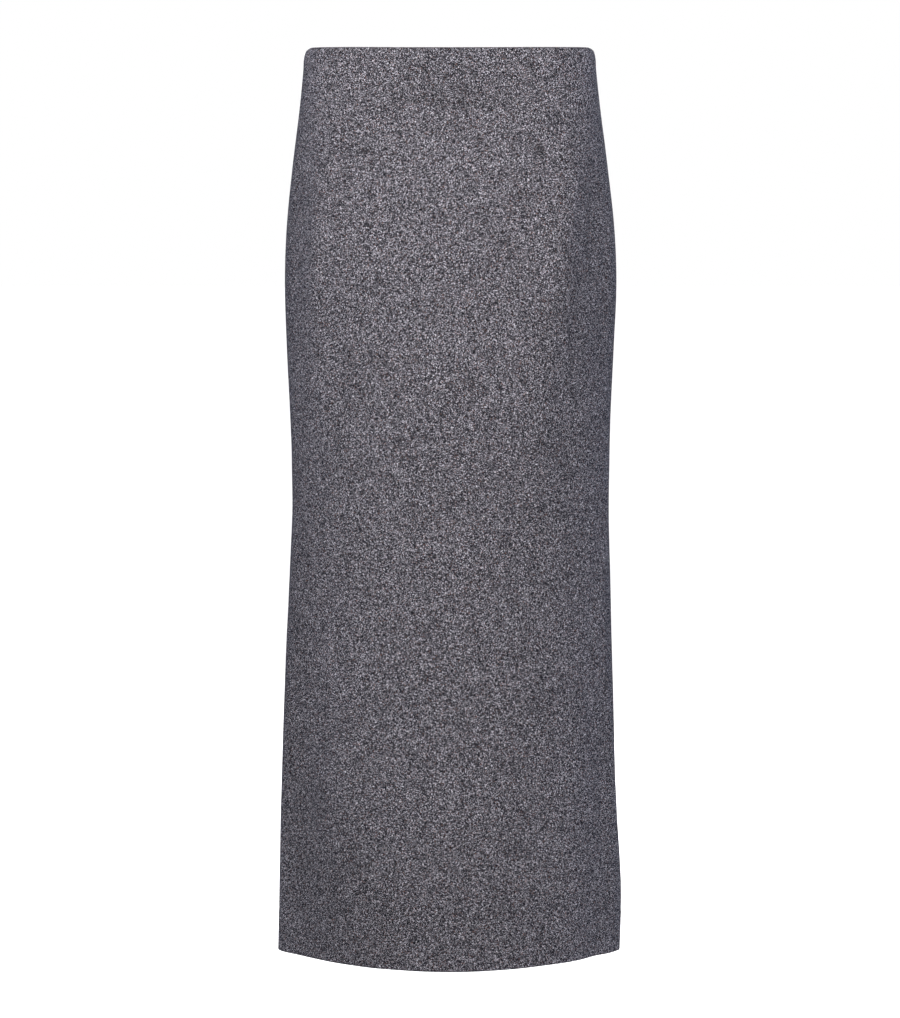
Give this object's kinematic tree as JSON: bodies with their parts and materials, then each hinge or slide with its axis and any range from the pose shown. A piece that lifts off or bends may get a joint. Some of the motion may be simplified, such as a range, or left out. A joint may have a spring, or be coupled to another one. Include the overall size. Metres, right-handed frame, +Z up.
{
  "type": "pencil skirt",
  "caption": "High-waisted fitted pencil skirt in grey tweed, below-knee length, hollow and filled out as worn, with darts, a centre back zip and a lapped back vent.",
  "frame": {"origin": "middle of the waist opening, level with the top edge at the centre front, where the wearer's waist holds the skirt", "axes": "+Z up, the front faces -Y, +X is the wearer's left"},
  "size_m": [0.3492, 0.2313, 0.9117],
  "materials": {
    "tweed": "matt salt-and-pepper tweed",
    "zip_tape": "fine woven tape with a coil",
    "zip_metal": "satin dark grey"
  },
  "bodies": {
    "skirt": {"front_panel": "tweed", "back_panel_left": "tweed", "back_panel_right": "tweed", "vent_underlap": "tweed", "zip_tape": "zip_tape", "zip_slider": "zip_metal"},
    "pull": {"zip_pull": "zip_metal"}
  },
  "joints": [
    {"name": "zip_pull_hinge", "type": "hinge", "parent": "skirt", "child": "pull", "pos_m": [0, 0.07993, -0.01839], "axis": [1, 0, 0], "range_deg": [0, 160]}
  ]
}
